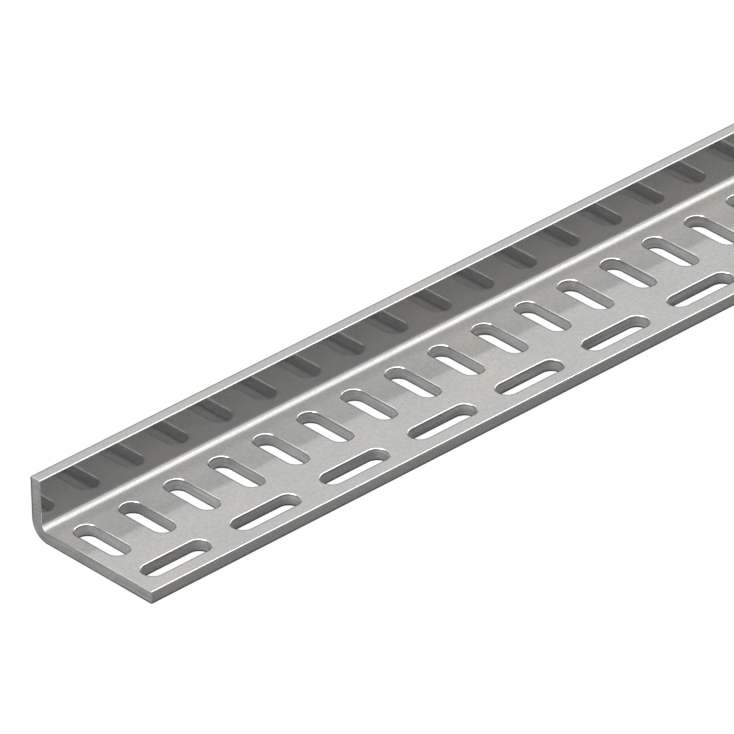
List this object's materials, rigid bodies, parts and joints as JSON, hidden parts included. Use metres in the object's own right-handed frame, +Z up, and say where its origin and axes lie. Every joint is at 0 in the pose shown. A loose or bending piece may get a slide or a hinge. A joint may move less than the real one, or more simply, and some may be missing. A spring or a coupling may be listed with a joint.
{
  "type": "perforated angle profile",
  "caption": "Cold-formed steel angle with a wide slotted leg and a short plain flange, for carrying and fastening cables or light framing.",
  "frame": {"origin": "middle of the rectangle that the bar stands on, at the underside of the wide leg", "axes": "+X along the bar, away from the end that the picture shows; +Y from the free edge to the back of the flange; +Z up, the way the flange stands"},
  "size_m": [2, 0.05, 0.02],
  "materials": {
    "stainless_steel": "satin mill finish, cold rolled"
  },
  "bodies": {
    "root": {"angle_profile": "stainless_steel"}
  },
  "joints": []
}
